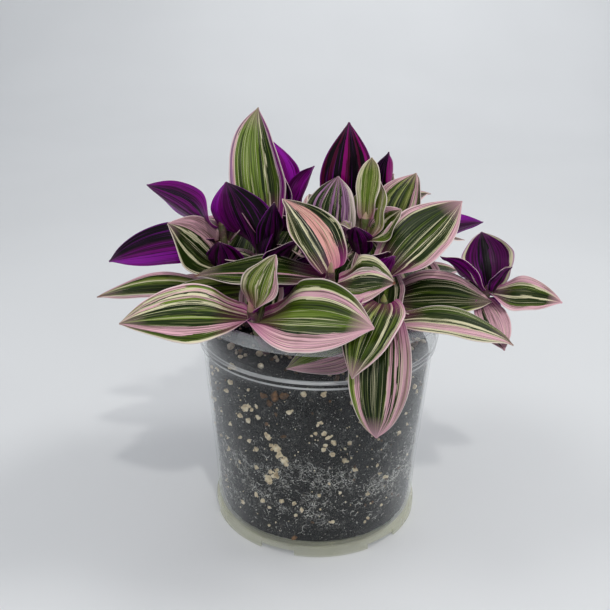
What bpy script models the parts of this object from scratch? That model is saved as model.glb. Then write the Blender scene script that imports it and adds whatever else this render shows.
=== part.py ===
"""A tradescantia in a clear plastic nursery pot.

The pot stands on its six feet at z = 0 with its axis on the Z axis. The soil fills it up
to the collar, and rooted shoots carry the leaves. The shoots' routes and the leaves'
directions are chosen by hand in the two lists SHOOTS and LEAVES.
"""
from math import cos, pi, radians, sin

import bmesh
import bpy
from mathutils import Matrix, Vector

MM = 0.001

# Pot, in millimetres. WALL lists the outer radius of the wall at each height.
RIM_RADIUS = 60.0
POT_HEIGHT = 113.5
RIM_BAND = 5.5
RIM_THICKNESS = 1.6
RIM_ROUND = 1.2
COLLAR_TOP_RADIUS = 58.6
STEP_RADIUS = 56.2
STEP_BOTTOM = 90.7
STEP_TOP = 93.8
STEP_SLOPE = 0.4
STEP_THICKNESS = 1.6
WALL = ((88.5, 54.6), (69, 53.4), (49, 51.8), (30, 50.4), (10, 49.4), (6.8, 49.1))
WALL_THICKNESS = 1.0
FOOT_RADIUS = 50.4
FOOT_THICKNESS = 1.4
FOOT_ROUND = 0.5
SKIRT_TOP = 5.0
FLOOR_TOP = 5.4
FLOOR_BOTTOM = 4.2
CENTRE_HOLE_RADIUS = 4.0
POT_SEGMENTS = 40

# Feet and drainage. Angles are about the Z axis, from +X.
FEET = 6
FIRST_ARCH = -110.0
ARCH_WIDTH = 17.0
ARCH_HEIGHT = 2.8
SLOT_WIDTH = 2.4
SLOT_INNER_RADIUS = 36.0
SLOT_OUTER_RADIUS = 46.5
CUTTER_REACH = 4.0
CUTTER_MARGIN = 1.0

# Soil
SOIL_TOP = 92.5
SOIL_DOME = 2.0
SOIL_TILT = 5.0
SOIL_HIGH_SIDE = 180.0
SOIL_RIPPLE = 0.5
RIPPLE_X = 0.21
RIPPLE_Y = 0.17
SOIL_GAP = 0.35
SOIL_SEGMENTS = 28
SOIL_RINGS = (0.75, 0.5, 0.25)

# Shoots and leaves
STEM_RADIUS = 2.5
STEM_TIP_RADIUS = 1.7
STEM_STEPS = 2
STEM_FOOT_ROOM = 1.5
LEAF_THICKNESS = 0.8
LEAF_GAP = 0.35
LEAF_ALONG = 6
LEAF_ACROSS = 4
LEAF_BASE_WIDTH = 0.3
LEAF_TIP_HALF_WIDTH = 0.35
LEAF_TIP_CURVE = 1.8
SHEATH_CUP = 60.0
SHEATH_END = 0.22
ROLL_END = 0.35

# Each shoot's route, from the soil up: points in millimetres.
SHOOTS = {
    "left_tall": ((-20, -12), (-22, -11, 118), (-24, -10, 131), (-24, -8, 144)),
    "centre_front": ((3, -25), (5, -28, 116), (5, -30, 127), (5, -31, 135)),
    "centre_back": ((4, 12), (6, 12, 118), (9, 15, 132), (12, 18, 142)),
    "centre_right": ((20, -2), (20, -5, 118), (19, -6, 136), (20, -7, 151)),
    "right": ((24, -14), (26, -20, 112), (26, -23, 122), (27, -24, 130)),
    "right_back": ((30, 8), (31, 4, 120), (30, 1, 134), (29, -1, 144)),
    "right_trailing": ((36, -8), (50, -14, 114), (62, -18, 117), (71, -21, 119), (75, -22, 125)),
    "left": ((-32, -8), (-39, -6, 111), (-42, -5, 122), (-44, -4, 147)),
    "front_left": ((-22, -33), (-25, -38, 107), (-27, -41, 115), (-28, -43, 121)),
    "front_right": ((22, -32), (25, -38, 108), (27, -41, 118), (27, -42, 126)),
    "back_left": ((-14, 16), (-15, 17, 120), (-15, 17, 136), (-15, 16, 147)),
    "back_right": ((18, 28), (20, 30, 120), (24, 27, 138), (29, 24, 149)),
    "centre_mid": ((0, -4), (0, -4, 118), (3, -4, 134), (5, -3, 146)),
}

# Each leaf: shoot, height of its node, then
# heading and lift of the line from base to tip (degrees; heading 0 is +X, 90 is +Y),
# length and width (mm), bend (degrees the blade arches down from base to tip),
# sweep (degrees it turns to its left), roll (degrees its right side dips), cup (degrees
# each half of the blade curls up), and where along its length it is widest.
LEAVES = {
    "leaf_01": ("left_tall", 144, 102, 61, 58, 30, 30, -60, 0, 45, 0.42),
    "leaf_02": ("back_left", 140, 180, 74, 44, 26, 0, 0, 45, 30, 0.45),
    "leaf_03": ("back_left", 146, 30, 62, 24, 17, 10, 0, 0, 80, 0.45),
    "leaf_04": ("left", 144, 172, 30, 37, 24, 15, 0, 60, 30, 0.45),
    "leaf_05": ("left_tall", 133, -152, 66, 38, 28, -10, 60, 0, 30, 0.45),
    "leaf_06": ("left_tall", 136, -72, 64, 29, 12, -10, 0, 0, 35, 0.45),
    "leaf_07": ("left", 138, 164, -16, 60, 21, 20, 0, 88, 20, 0.45),
    "leaf_08": ("left", 123, -146, 48, 36, 21, 20, 0, -78, 20, 0.55),
    "leaf_10": ("left", 113, -176, -1, 60, 24, 30, 0, -10, 15, 0.45),
    "leaf_11": ("front_left", 116, -168, 2, 53, 30, 25, 0, -35, 15, 0.42),
    "leaf_12": ("left_tall", 117, -157, -2, 56, 24, 25, 0, -12, 15, 0.45),
    "leaf_13": ("front_left", 121, 15, 71, 25, 20, 10, 0, 50, 60, 0.45),
    "leaf_14": ("front_left", 115, -28, 10, 54, 33, 30, 0, 50, 15, 0.50),
    "leaf_15": ("centre_front", 133, 138, 46, 37, 31, 10, 0, 0, 55, 0.45),
    "leaf_16": ("centre_mid", 138, 72, 68, 30, 26, 20, 0, 0, 35, 0.45),
    "leaf_17": ("centre_mid", 146, -58, 12, 14, 9, 50, 0, 0, 30, 0.45),
    "leaf_18": ("centre_back", 141, -85, 87, 49, 24, -25, 0, 0, 30, 0.45),
    "leaf_19": ("centre_right", 150, 75, 75, 27, 12, 10, 0, 0, 55, 0.68),
    "leaf_20": ("back_right", 148, -70, 80, 28, 14, 0, 0, 0, 85, 0.50),
    "leaf_21": ("right_back", 140, 50, 52, 33, 27, 20, 0, 0, 35, 0.45),
    "leaf_22": ("right", 129, 30, 37, 49, 29, 20, 0, 30, 25, 0.45),
    "leaf_23": ("right_back", 134, 14, 13, 46, 20, 10, 0, -60, 30, 0.45),
    "leaf_24": ("centre_mid", 130, 162, 10, 30, 22, 20, 0, 10, 20, 0.45),
    "leaf_25": ("right_trailing", 125, 105, 62, 24, 19, 10, 0, -10, 50, 0.55),
    "leaf_26": ("right_trailing", 122, -24, 3, 30, 19, 20, 0, 35, 20, 0.40),
    "leaf_27": ("right", 116, -6, 5, 47, 29, 25, 0, 30, 20, 0.45),
    "leaf_28": ("front_right", 114, -4, -7, 55, 18, 45, 0, 20, 20, 0.50),
    "leaf_29": ("right_trailing", 120, 20, -72, 12, 12, 30, 0, 0, 60, 0.50),
    "leaf_30": ("front_right", 125, -117, -33, 40, 24, 80, -30, 0, 20, 0.45),
    "leaf_31": ("front_right", 119, -95, -62, 58, 25, 110, 0, 0, 20, 0.50),
    "leaf_32": ("centre_right", 142, 48, 73, 26, 21, 10, 0, 0, 30, 0.50),
    "leaf_33": ("centre_right", 139, -10, 50, 21, 14, 20, 0, 0, 40, 0.50),
    "leaf_34": ("centre_front", 128, -24, 12, 27, 26, 20, 0, 38, 20, 0.45),
    "leaf_35": ("right", 130, -66, 62, 14, 11, 0, 0, 0, 70, 0.50),
    "leaf_36": ("centre_front", 130, 176, -1, 57, 22, 25, 0, -15, 15, 0.45),
    "leaf_37": ("right_trailing", 123.5, 170, 36, 24, 15, 20, 0, 40, 30, 0.45),
    "leaf_38": ("right_trailing", 119, -72, -32, 26, 14, 20, 0, 20, 20, 0.50),
    "leaf_40": ("front_right", 104, -155, -7, 38, 18, 10, 0, -55, 15, 0.45),
    "leaf_41": ("back_left", 126, 108, 6, 52, 28, 45, 0, 0, 20, 0.45),
    "leaf_42": ("back_left", 114, 150, 6, 56, 28, 40, 0, 0, 20, 0.45),
    "leaf_43": ("back_right", 128, 66, 14, 46, 28, 40, 0, 0, 20, 0.45),
    "leaf_44": ("back_right", 120, 14, 6, 54, 26, 40, 0, 0, 20, 0.45),
    "leaf_45": ("back_right", 114, 100, 0, 46, 28, 60, 0, 0, 20, 0.45),
    "leaf_46": ("centre_back", 116, 98, 8, 54, 28, 50, 0, 0, 20, 0.45),
}

MATERIALS = {
    "clear_plastic": ((0.85, 0.87, 0.88), 0.15),
    "soil": ((0.035, 0.035, 0.038), 0.95),
    "stem": ((0.28, 0.20, 0.16), 0.5),
    "leaf": ((0.16, 0.24, 0.08), 0.4),
}


def clear_scene():
    for obj in list(bpy.data.objects):
        bpy.data.objects.remove(obj)


def material(name):
    found = bpy.data.materials.get(name)
    if found:
        return found
    colour, roughness = MATERIALS[name]
    made = bpy.data.materials.new(name)
    made.use_nodes = True
    shader = made.node_tree.nodes["Principled BSDF"]
    shader.inputs["Base Color"].default_value = (*colour, 1)
    shader.inputs["Roughness"].default_value = roughness
    return made


def add_mesh(name, points, faces, material_name):
    """An object from points in millimetres, with its faces turned outwards."""
    mesh = bpy.data.meshes.new(name)
    mesh.from_pydata([Vector(p) * MM for p in points], [], faces)
    tidy = bmesh.new()
    tidy.from_mesh(mesh)
    bmesh.ops.recalc_face_normals(tidy, faces=tidy.faces)
    tidy.to_mesh(mesh)
    tidy.free()
    mesh.shade_smooth()
    mesh.set_sharp_from_angle(angle=radians(35))
    mesh.materials.append(material(material_name))
    obj = bpy.data.objects.new(name, mesh)
    bpy.context.collection.objects.link(obj)
    return obj


def turned(profile, segments):
    """Points and faces of a closed (radius, height) profile turned about the Z axis."""
    points = []
    for step in range(segments):
        angle = 2 * pi * step / segments
        points += [(r * cos(angle), r * sin(angle), z) for r, z in profile]
    count = len(profile)
    faces = []
    for step in range(segments):
        here = step * count
        there = (step + 1) % segments * count
        for i in range(count):
            j = (i + 1) % count
            faces.append((here + i, here + j, there + j, there + i))
    return points, faces


def pot_profile():
    rim_bottom = POT_HEIGHT - RIM_BAND
    outer = [
        (RIM_RADIUS - RIM_THICKNESS, POT_HEIGHT),
        (RIM_RADIUS - RIM_ROUND / 2, POT_HEIGHT - RIM_ROUND / 4),
        (RIM_RADIUS, POT_HEIGHT - RIM_ROUND),
        (RIM_RADIUS, rim_bottom),
        (COLLAR_TOP_RADIUS, rim_bottom - STEP_SLOPE),
        (STEP_RADIUS + STEP_SLOPE, STEP_TOP + STEP_SLOPE),
        (STEP_RADIUS, STEP_TOP),
        (STEP_RADIUS, STEP_BOTTOM),
    ]
    outer += [(radius, height) for height, radius in WALL]
    skirt = [
        (FOOT_RADIUS, SKIRT_TOP),
        (FOOT_RADIUS, FOOT_ROUND),
        (FOOT_RADIUS - FOOT_ROUND, 0.0),
        (FOOT_RADIUS - FOOT_THICKNESS, 0.0),
        (FOOT_RADIUS - FOOT_THICKNESS, FLOOR_BOTTOM - FOOT_ROUND),
        (FOOT_RADIUS - 2 * FOOT_THICKNESS, FLOOR_BOTTOM),
    ]
    floor = [
        (CENTRE_HOLE_RADIUS, FLOOR_BOTTOM),
        (CENTRE_HOLE_RADIUS, FLOOR_TOP),
        (WALL[-1][1] - 2 * WALL_THICKNESS, FLOOR_TOP),
    ]
    inner = [(radius - WALL_THICKNESS, height) for height, radius in reversed(WALL)]
    inner += [
        (STEP_RADIUS - STEP_THICKNESS, STEP_BOTTOM + WALL_THICKNESS),
        (STEP_RADIUS - WALL_THICKNESS, STEP_TOP + STEP_SLOPE),
        (COLLAR_TOP_RADIUS - WALL_THICKNESS, rim_bottom),
        (COLLAR_TOP_RADIUS - WALL_THICKNESS, POT_HEIGHT - RIM_ROUND / 2),
    ]
    return outer + skirt + floor + inner


def box_corners(inner, outer, half_width, low, high):
    return [
        (x, y, z)
        for x in (inner, outer)
        for y in (-half_width, half_width)
        for z in (low, high)
    ]


BOX_FACES = [(0, 1, 3, 2), (4, 6, 7, 5), (0, 4, 5, 1), (2, 3, 7, 6), (0, 2, 6, 4), (1, 5, 7, 3)]


def ring_of_boxes(name, first_angle, corners):
    """One helper object: a box on each foot's pitch, for a Boolean to cut with."""
    points = []
    faces = []
    for number in range(FEET):
        turn = Matrix.Rotation(radians(first_angle + 360 / FEET * number), 3, "Z")
        faces += [[len(points) + i for i in face] for face in BOX_FACES]
        points += [turn @ Vector(corner) for corner in corners]
    cutter = add_mesh(name, points, faces, "clear_plastic")
    cutter.hide_render = True
    cutter.display_type = "WIRE"
    return cutter


def cut(obj, cutter):
    boolean = obj.modifiers.new(cutter.name, "BOOLEAN")
    boolean.operation = "DIFFERENCE"
    boolean.solver = "EXACT"
    boolean.object = cutter


def make_pot():
    pot = add_mesh("pot", *turned(pot_profile(), POT_SEGMENTS), "clear_plastic")
    arch = box_corners(
        FOOT_RADIUS - CUTTER_REACH,
        FOOT_RADIUS + CUTTER_REACH,
        ARCH_WIDTH / 2,
        -CUTTER_MARGIN,
        ARCH_HEIGHT,
    )
    cut(pot, ring_of_boxes("arch_cutter", FIRST_ARCH, arch))
    slot = box_corners(
        SLOT_INNER_RADIUS,
        SLOT_OUTER_RADIUS,
        SLOT_WIDTH / 2,
        FLOOR_BOTTOM - CUTTER_MARGIN,
        FLOOR_TOP + CUTTER_MARGIN,
    )
    cut(pot, ring_of_boxes("slot_cutter", FIRST_ARCH + 180 / FEET, slot))


def soil_height(x, y):
    """Height of the soil's surface: a low dome, higher on one side."""
    side = cos(radians(SOIL_HIGH_SIDE)) * x + sin(radians(SOIL_HIGH_SIDE)) * y
    reach = (x * x + y * y) ** 0.5 / STEP_RADIUS
    ripple = SOIL_RIPPLE * sin(x * RIPPLE_X) * cos(y * RIPPLE_Y)
    return SOIL_TOP + SOIL_DOME * (1 - reach * reach) + SOIL_TILT * side / STEP_RADIUS + ripple


def make_soil():
    gap = WALL_THICKNESS + SOIL_GAP
    side = [(radius - gap, height) for height, radius in reversed(WALL[1:])]
    side[0] = (side[0][0] - WALL_THICKNESS, FLOOR_TOP + SOIL_GAP)
    top_radius = WALL[0][1] - gap
    rings = [(side[0][0] / 2, side[0][1])] + side + [(top_radius, None)]
    rings += [(top_radius * share, None) for share in SOIL_RINGS]
    points = [(0, 0, side[0][1])]
    for radius, height in rings:
        for step in range(SOIL_SEGMENTS):
            angle = 2 * pi * step / SOIL_SEGMENTS
            x, y = radius * cos(angle), radius * sin(angle)
            points.append((x, y, soil_height(x, y) if height is None else height))
    points.append((0, 0, soil_height(0, 0)))
    faces = []
    for ring in range(len(rings) - 1):
        for step in range(SOIL_SEGMENTS):
            beside = (step + 1) % SOIL_SEGMENTS
            low, high = 1 + ring * SOIL_SEGMENTS, 1 + (ring + 1) * SOIL_SEGMENTS
            faces.append((low + step, low + beside, high + beside, high + step))
    last = 1 + (len(rings) - 1) * SOIL_SEGMENTS
    for step in range(SOIL_SEGMENTS):
        beside = (step + 1) % SOIL_SEGMENTS
        faces.append((0, 1 + beside, 1 + step))
        faces.append((last + step, last + beside, len(points) - 1))
    add_mesh("soil", points, faces, "soil")


def shoot_route(name):
    """A smooth run of points through a shoot's own points, starting on the soil."""
    (x, y), *rest = SHOOTS[name]
    first = Vector(rest[0]) - Vector((x, y, SOIL_TOP))
    slope = Vector((first.x, first.y, 0)).length / first.length
    foot = soil_height(x, y) + LEAF_GAP + STEM_FOOT_ROOM * STEM_RADIUS * slope
    own = [Vector((x, y, foot))] + [Vector(p) for p in rest]
    route = []
    for i in range(len(own) - 1):
        before = own[i - 1] if i else 2 * own[0] - own[1]
        after = own[i + 2] if i + 2 < len(own) else 2 * own[-1] - own[-2]
        for step in range(STEM_STEPS):
            t = step / STEM_STEPS
            a = own[i + 1] - before
            b = after - own[i]
            route.append(
                own[i] * (1 - 3 * t**2 + 2 * t**3)
                + own[i + 1] * (3 * t**2 - 2 * t**3)
                + 0.5 * a * (t - 2 * t**2 + t**3)
                + 0.5 * b * (t**3 - t**2)
            )
    return route + [own[-1]]


def stem_radius(share):
    return STEM_RADIUS + (STEM_TIP_RADIUS - STEM_RADIUS) * share


def make_stem(name):
    route = shoot_route(name)
    curve = bpy.data.curves.new("stem_" + name, "CURVE")
    curve.dimensions = "3D"
    curve.bevel_depth = MM
    curve.bevel_resolution = 2
    curve.use_fill_caps = True
    spline = curve.splines.new("POLY")
    spline.points.add(len(route) - 1)
    for i, place in enumerate(route):
        spline.points[i].co = (*(place * MM), 1)
        spline.points[i].radius = stem_radius(i / (len(route) - 1))
    curve.materials.append(material("stem"))
    obj = bpy.data.objects.new("stem_" + name, curve)
    bpy.context.collection.objects.link(obj)


def node_on(name, height):
    """The shoot's centre and radius at a height."""
    route = shoot_route(name)
    for i in range(len(route) - 1):
        low, high = route[i].z, route[i + 1].z
        if height <= high:
            share = (height - low) / (high - low)
            return route[i].lerp(route[i + 1], share), stem_radius((i + share) / (len(route) - 1))
    return route[-1], stem_radius(1)


def half_width(share, width, widest):
    """Half the blade's width at a share of its length: a clasping base, a pointed tip."""
    if share < widest:
        part = LEAF_BASE_WIDTH + (1 - LEAF_BASE_WIDTH) * sin(pi / 2 * share / widest)
    else:
        part = 1 - ((share - widest) / (1 - widest)) ** LEAF_TIP_CURVE
    return max(LEAF_TIP_HALF_WIDTH, part * width / 2)


def direction(azimuth, elevation):
    azimuth, elevation = radians(azimuth), radians(elevation)
    return Vector((cos(elevation) * cos(azimuth), cos(elevation) * sin(azimuth), sin(elevation)))


def leaf_sections(leaf, along, across):
    """Rows of (point, normal) across the blade, from its base to its tip."""
    shoot, height, heading, lift, length, width, bend, sweep, roll, cup, widest = leaf
    centre, radius = node_on(shoot, height)
    azimuth = heading - sweep / 2
    out = Vector((cos(radians(azimuth)), sin(radians(azimuth)), 0))
    place = centre + out * (radius + LEAF_GAP + LEAF_THICKNESS / 2)
    rows = []
    for i in range(along + 1):
        share = i / along
        azimuth = heading + sweep * (share - 0.5)
        elevation = lift + bend * (0.5 - share)
        ahead = direction(azimuth, elevation)
        right = Vector((sin(radians(azimuth)), -cos(radians(azimuth)), 0))
        upward = right.cross(ahead)
        lean = radians(roll) * min(1, share / ROLL_END)
        side = right * cos(lean) - upward * sin(lean)
        face = upward * cos(lean) + right * sin(lean)
        sheath = max(0, 1 - share / SHEATH_END) ** 2
        curl = radians(cup + (SHEATH_CUP - cup) * sheath)
        half = half_width(share, width, widest)
        row = []
        for j in range(across + 1):
            turn = curl * (2 * j / across - 1)
            point = place + half / curl * (side * sin(turn) + face * (1 - cos(turn)))
            row.append((point, face * cos(turn) - side * sin(turn)))
        rows.append(row)
        middle = direction(
            heading + sweep * (share + 0.5 / along - 0.5), lift + bend * (0.5 - share - 0.5 / along)
        )
        place = place + middle * (length / along)
    return rows


def make_leaf(name):
    rows = leaf_sections(LEAVES[name], LEAF_ALONG, LEAF_ACROSS)
    lift = LEAF_THICKNESS / 2
    points = [p + n * lift for row in rows for p, n in row]
    points += [p - n * lift for row in rows for p, n in row]
    wide = LEAF_ACROSS + 1
    back = len(points) // 2
    faces = []
    for i in range(LEAF_ALONG):
        for j in range(LEAF_ACROSS):
            a = i * wide + j
            faces.append((a, a + 1, a + wide + 1, a + wide))
            faces.append((back + a, back + a + wide, back + a + wide + 1, back + a + 1))
    edge = [i * wide for i in range(LEAF_ALONG)]
    edge += [LEAF_ALONG * wide + j for j in range(LEAF_ACROSS)]
    edge += [i * wide + LEAF_ACROSS for i in range(LEAF_ALONG, 0, -1)]
    edge += [j for j in range(LEAF_ACROSS, 0, -1)]
    for k, a in enumerate(edge):
        b = edge[(k + 1) % len(edge)]
        faces.append((a, b, back + b, back + a))
    add_mesh(name, points, faces, "leaf")


def main():
    clear_scene()
    make_pot()
    make_soil()
    for name in SHOOTS:
        make_stem(name)
    for name in LEAVES:
        make_leaf(name)


main()
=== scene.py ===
"""The looks of a potted tradescantia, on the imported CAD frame.

Every piece rides on the one body, "root". Leaves, stems, soil and pot are remade here at a
finer size from the same routes and directions as their CAD solids, which they replace.
Lengths are in millimetres up to the point where a mesh is made.
"""
import random
from math import cos, exp, pi, radians, sin

import bmesh
import bpy
from mathutils import Matrix, Vector, noise


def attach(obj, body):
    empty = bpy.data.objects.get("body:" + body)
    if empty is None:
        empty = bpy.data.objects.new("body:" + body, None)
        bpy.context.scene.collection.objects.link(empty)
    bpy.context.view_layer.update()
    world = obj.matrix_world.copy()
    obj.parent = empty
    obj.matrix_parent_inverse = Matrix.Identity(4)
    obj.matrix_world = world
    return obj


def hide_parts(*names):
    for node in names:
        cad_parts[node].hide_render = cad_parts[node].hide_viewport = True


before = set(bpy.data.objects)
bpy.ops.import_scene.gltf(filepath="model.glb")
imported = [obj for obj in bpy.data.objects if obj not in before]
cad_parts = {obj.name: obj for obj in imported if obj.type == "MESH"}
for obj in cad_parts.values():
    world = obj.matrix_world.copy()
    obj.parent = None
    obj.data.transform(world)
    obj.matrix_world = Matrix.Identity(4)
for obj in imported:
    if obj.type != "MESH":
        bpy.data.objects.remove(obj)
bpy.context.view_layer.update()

MM = 0.001
SEED = 7

# Camera, solved from the pot's outlines.
CAMERA_PLACE = (0.0, -355.8, 253.12)
CAMERA_LENS = 48.13
CAMERA_TILT = 67.53
CAMERA_TURN = 1.0175
CAMERA_ROLL = 0.72

# Pot, the same measures as its CAD solid.
RIM_RADIUS = 60.0
POT_HEIGHT = 113.5
RIM_BAND = 5.5
COLLAR_TOP_RADIUS = 58.6
STEP_RADIUS = 56.2
STEP_BOTTOM = 90.7
STEP_TOP = 93.8
STEP_THICKNESS = 1.6
WALL = ((88.5, 54.6), (69, 53.4), (49, 51.8), (30, 50.4), (10, 49.4), (6.8, 49.1))
WALL_THICKNESS = 1.0
FOOT_RADIUS = 50.4
FOOT_THICKNESS = 1.4
SKIRT_TOP = 5.0
FLOOR_TOP = 5.4
FLOOR_BOTTOM = 4.2
CENTRE_HOLE_RADIUS = 4.0
POT_SEGMENTS = 240
FEET = 6
FIRST_ARCH = -110.0
ARCH_WIDTH = 17.0
ARCH_HEIGHT = 2.8
SLOT_WIDTH = 2.4
SLOT_INNER_RADIUS = 36.0
SLOT_OUTER_RADIUS = 46.5
CUTTER_REACH = 4.0
CUTTER_MARGIN = 1.0

# The pot's plastic by part: colour, haze face on, haze at a slant, roughness.
POT_LOOKS = {
    "clear_wall": ((226, 230, 232), 0.003, 0.26, 0.25),
    "clear_rim": ((226, 230, 230), 0.2, 0.42, 0.22),
    "clear_step": ((242, 244, 244), 0.45, 0.5, 0.2),
    "clear_foot": ((222, 221, 186), 0.2, 0.42, 0.28),
}

# Soil
SOIL_TOP = 92.5
SOIL_DOME = 2.0
SOIL_TILT = 5.0
SOIL_HIGH_SIDE = 180.0
SOIL_RIPPLE = 0.5
RIPPLE_X = 0.21
RIPPLE_Y = 0.17
SOIL_GAP = 0.35
SOIL_AROUND = 220
SOIL_UP = 90
SOIL_IN = 60
GRAINS_AT_SIDE = 620
GRAINS_ON_TOP = 240
FLECKS = 4200
FIBRES = 520
CHIPS_AT_SIDE = 70
CHIPS_ON_TOP = 90
WEB_HEIGHT = 34
WEB_SPREAD = 14
WEB_RADIUS = 50
FLECKS_FROM = 9
FLECKS_TO = 86
DEGREES = 57.3
BARE_PATCH = -0.08

# Shoots and leaves
STEM_RADIUS = 2.5
STEM_TIP_RADIUS = 1.7
STEM_FOOT_ROOM = 1.5
STEM_STEPS = 14
STEM_SIDES = 20
JOINT_SWELL = 0.35
JOINT_REACH = 1.3
BARE_JOINTS = (9, 20)
BUD_STEPS = 16
BUD_SIDES = 14
BUD_RADIUS = 1.5
BUD_TIP_RADIUS = 0.12
LEAF_GAP = 0.35
LEAF_SOLID = 0.8
LEAF_BASE_WIDTH = 0.55
LEAF_BASE_CURVE = 0.68
LEAF_TIP_HALF_WIDTH = 0.35
LEAF_TIP_CURVE = 1.8
STRIPE_WANDER = 0.1
LEAF_ALONG = 44
LEAF_ACROSS = 26
BLADE_MIDDLE = 0.62
BLADE_EDGE = 0.24
SHEATH_CUP = 60.0
SHEATH_END = 0.22
ROLL_END = 0.42

# Each shoot's route, from the soil up: points in millimetres.
SHOOTS = {
    "left_tall": ((-20, -12), (-22, -11, 118), (-24, -10, 131), (-24, -8, 144)),
    "centre_front": ((3, -25), (5, -28, 116), (5, -30, 127), (5, -31, 135)),
    "centre_back": ((4, 12), (6, 12, 118), (9, 15, 132), (12, 18, 142)),
    "centre_right": ((20, -2), (20, -5, 118), (19, -6, 136), (20, -7, 151)),
    "right": ((24, -14), (26, -20, 112), (26, -23, 122), (27, -24, 130)),
    "right_back": ((30, 8), (31, 4, 120), (30, 1, 134), (29, -1, 144)),
    "right_trailing": ((36, -8), (50, -14, 114), (62, -18, 117), (71, -21, 119), (75, -22, 125)),
    "left": ((-32, -8), (-39, -6, 111), (-42, -5, 122), (-44, -4, 147)),
    "front_left": ((-22, -33), (-25, -38, 107), (-27, -41, 115), (-28, -43, 121)),
    "front_right": ((22, -32), (25, -38, 108), (27, -41, 118), (27, -42, 126)),
    "back_left": ((-14, 16), (-15, 17, 120), (-15, 17, 136), (-15, 16, 147)),
    "back_right": ((18, 28), (20, 30, 120), (24, 27, 138), (29, 24, 149)),
    "centre_mid": ((0, -4), (0, -4, 118), (3, -4, 134), (5, -3, 146)),
}

# Each leaf: shoot, height of its node, then
# heading and lift of the line from base to tip (degrees; heading 0 is +X, 90 is +Y),
# length and width (mm), bend (degrees the blade arches down from base to tip),
# sweep (degrees it turns to its left), roll (degrees its right side dips), cup (degrees
# each half of the blade curls up), and where along its length it is widest.
LEAVES = {
    "leaf_01": ("left_tall", 144, 102, 61, 58, 30, 30, -60, 0, 45, 0.42),
    "leaf_02": ("back_left", 140, 180, 74, 44, 26, 0, 0, 45, 30, 0.45),
    "leaf_03": ("back_left", 146, 30, 62, 24, 17, 10, 0, 0, 80, 0.45),
    "leaf_04": ("left", 144, 172, 30, 37, 24, 15, 0, 60, 30, 0.45),
    "leaf_05": ("left_tall", 133, -152, 66, 38, 28, -10, 60, 0, 30, 0.45),
    "leaf_06": ("left_tall", 136, -72, 64, 29, 12, -10, 0, 0, 35, 0.45),
    "leaf_07": ("left", 138, 164, -16, 60, 21, 20, 0, 88, 20, 0.45),
    "leaf_08": ("left", 123, -146, 48, 36, 21, 20, 0, -78, 20, 0.55),
    "leaf_10": ("left", 113, -176, -1, 60, 24, 30, 0, -10, 15, 0.45),
    "leaf_11": ("front_left", 116, -168, 2, 53, 30, 25, 0, -35, 15, 0.42),
    "leaf_12": ("left_tall", 117, -157, -2, 56, 24, 25, 0, -12, 15, 0.45),
    "leaf_13": ("front_left", 121, 15, 71, 25, 20, 10, 0, 50, 60, 0.45),
    "leaf_14": ("front_left", 115, -28, 10, 54, 33, 30, 0, 50, 15, 0.50),
    "leaf_15": ("centre_front", 133, 138, 46, 37, 31, 10, 0, 0, 55, 0.45),
    "leaf_16": ("centre_mid", 138, 72, 68, 30, 26, 20, 0, 0, 35, 0.45),
    "leaf_17": ("centre_mid", 146, -58, 12, 14, 9, 50, 0, 0, 30, 0.45),
    "leaf_18": ("centre_back", 141, -85, 87, 49, 24, -25, 0, 0, 30, 0.45),
    "leaf_19": ("centre_right", 150, 75, 75, 27, 12, 10, 0, 0, 55, 0.68),
    "leaf_20": ("back_right", 148, -70, 80, 28, 14, 0, 0, 0, 85, 0.50),
    "leaf_21": ("right_back", 140, 50, 52, 33, 27, 20, 0, 0, 35, 0.45),
    "leaf_22": ("right", 129, 30, 37, 49, 29, 20, 0, 30, 25, 0.45),
    "leaf_23": ("right_back", 134, 14, 13, 46, 20, 10, 0, -60, 30, 0.45),
    "leaf_24": ("centre_mid", 130, 162, 10, 30, 22, 20, 0, 10, 20, 0.45),
    "leaf_25": ("right_trailing", 125, 105, 62, 24, 19, 10, 0, -10, 50, 0.55),
    "leaf_26": ("right_trailing", 122, -24, 3, 30, 19, 20, 0, 35, 20, 0.40),
    "leaf_27": ("right", 116, -6, 5, 47, 29, 25, 0, 30, 20, 0.45),
    "leaf_28": ("front_right", 114, -4, -7, 55, 18, 45, 0, 20, 20, 0.50),
    "leaf_29": ("right_trailing", 120, 20, -72, 12, 12, 30, 0, 0, 60, 0.50),
    "leaf_30": ("front_right", 125, -117, -33, 40, 24, 80, -30, 0, 20, 0.45),
    "leaf_31": ("front_right", 119, -95, -62, 58, 25, 110, 0, 0, 20, 0.50),
    "leaf_32": ("centre_right", 142, 48, 73, 26, 21, 10, 0, 0, 30, 0.50),
    "leaf_33": ("centre_right", 139, -10, 50, 21, 14, 20, 0, 0, 40, 0.50),
    "leaf_34": ("centre_front", 128, -24, 12, 27, 26, 20, 0, 38, 20, 0.45),
    "leaf_35": ("right", 130, -66, 62, 14, 11, 0, 0, 0, 70, 0.50),
    "leaf_36": ("centre_front", 130, 176, -1, 57, 22, 25, 0, -15, 15, 0.45),
    "leaf_37": ("right_trailing", 123.5, 170, 36, 24, 15, 20, 0, 40, 30, 0.45),
    "leaf_38": ("right_trailing", 119, -72, -32, 26, 14, 20, 0, 20, 20, 0.50),
    "leaf_40": ("front_right", 104, -155, -7, 38, 18, 10, 0, -55, 15, 0.45),
    "leaf_41": ("back_left", 126, 108, 6, 52, 28, 45, 0, 0, 20, 0.45),
    "leaf_42": ("back_left", 114, 150, 6, 56, 28, 40, 0, 0, 20, 0.45),
    "leaf_43": ("back_right", 128, 66, 14, 46, 28, 40, 0, 0, 20, 0.45),
    "leaf_44": ("back_right", 120, 14, 6, 54, 26, 40, 0, 0, 20, 0.45),
    "leaf_45": ("back_right", 114, 100, 0, 46, 28, 60, 0, 0, 20, 0.45),
    "leaf_46": ("centre_back", 116, 98, 8, 54, 28, 50, 0, 0, 20, 0.45),
}

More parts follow.
